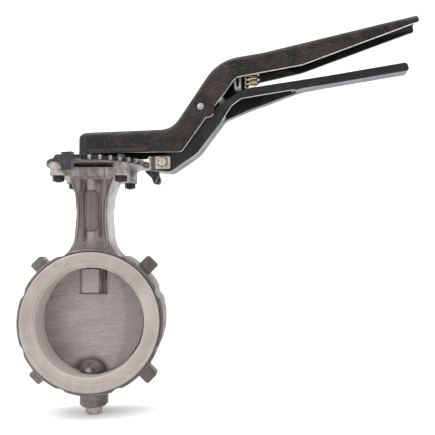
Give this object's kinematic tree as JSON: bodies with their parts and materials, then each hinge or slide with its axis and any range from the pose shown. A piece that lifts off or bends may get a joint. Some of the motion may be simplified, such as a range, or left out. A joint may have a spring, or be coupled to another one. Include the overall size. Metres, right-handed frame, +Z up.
{
  "type": "butterfly valve",
  "caption": "Wafer butterfly valve with a scalloped cast ring, a tall neck, a notched plate and a cranked lever handle with a squeeze trigger that locks the disc's angle.",
  "frame": {"origin": "where the flow axis crosses the stem axis, at the middle of the disc", "axes": "+Y along the flow towards the rear face, +Z up the stem to the handle, +X along the handle with the disc closed"},
  "size_m": [0.3724, 0.1137, 0.3659],
  "materials": {
    "cast_aluminium": "as cast, dull",
    "seat_rubber": "smooth, pale grey brown",
    "black_steel": "black, worn at the edges",
    "black_fastener": "black oxide",
    "bearing_brass": "turned",
    "seal_rubber": "moulded",
    "plain_steel": "zinc plated",
    "disc_metal": "fine brushed",
    "handle_paint": "brown black, scratched",
    "trigger_paint": "charcoal, worn",
    "spring_wire": "yellow passivated wire",
    "latch_metal": "tan passivated"
  },
  "bodies": {
    "body": {"valve_body": "cast_aluminium", "seat": "seat_rubber", "notch_plate": "black_steel", "stop_block": "black_steel", "plate_bolts": "black_fastener", "plate_nuts": "black_fastener", "upper_bushing": "bearing_brass", "spacer_sleeve": "bearing_brass", "stem_seals": "seal_rubber", "neck_bushing": "bearing_brass", "bottom_bushing": "bearing_brass", "thrust_pad": "bearing_brass", "bottom_plug": "plain_steel", "thrust_washer": "bearing_brass"},
    "stem_and_handle": {"disc": "disc_metal", "upper_stem": "plain_steel", "lower_stem": "plain_steel", "disc_screws": "plain_steel", "handle": "handle_paint", "handle_hub": "black_steel", "hub_set_screw": "black_fastener", "pivot_pin": "plain_steel", "stop_bar": "plain_steel", "inner_bracket": "plain_steel", "spring_peg": "black_steel", "trigger_spring": "spring_wire"},
    "trigger": {"trigger": "trigger_paint", "pivot_sleeve": "plain_steel", "spring_seat": "black_steel", "latch_clip": "latch_metal", "latch_rivet": "latch_metal", "lock_finger": "black_steel"}
  },
  "joints": [
    {"name": "stem_turn", "type": "hinge", "parent": "body", "child": "stem_and_handle", "pos_m": [0, 0, 0], "axis": [0, 0, 1], "range_deg": [-80, 10]},
    {"name": "trigger_squeeze", "type": "hinge", "parent": "stem_and_handle", "child": "trigger", "pos_m": [0.10616, -0.01872, 0.2014], "axis": [-0.1736, -0.9848, 0], "range_deg": [-3.5, 6], "stiffness_Nm_per_rad": 4, "springref_deg": -3.5, "deforming": ["trigger_spring"]}
  ]
}
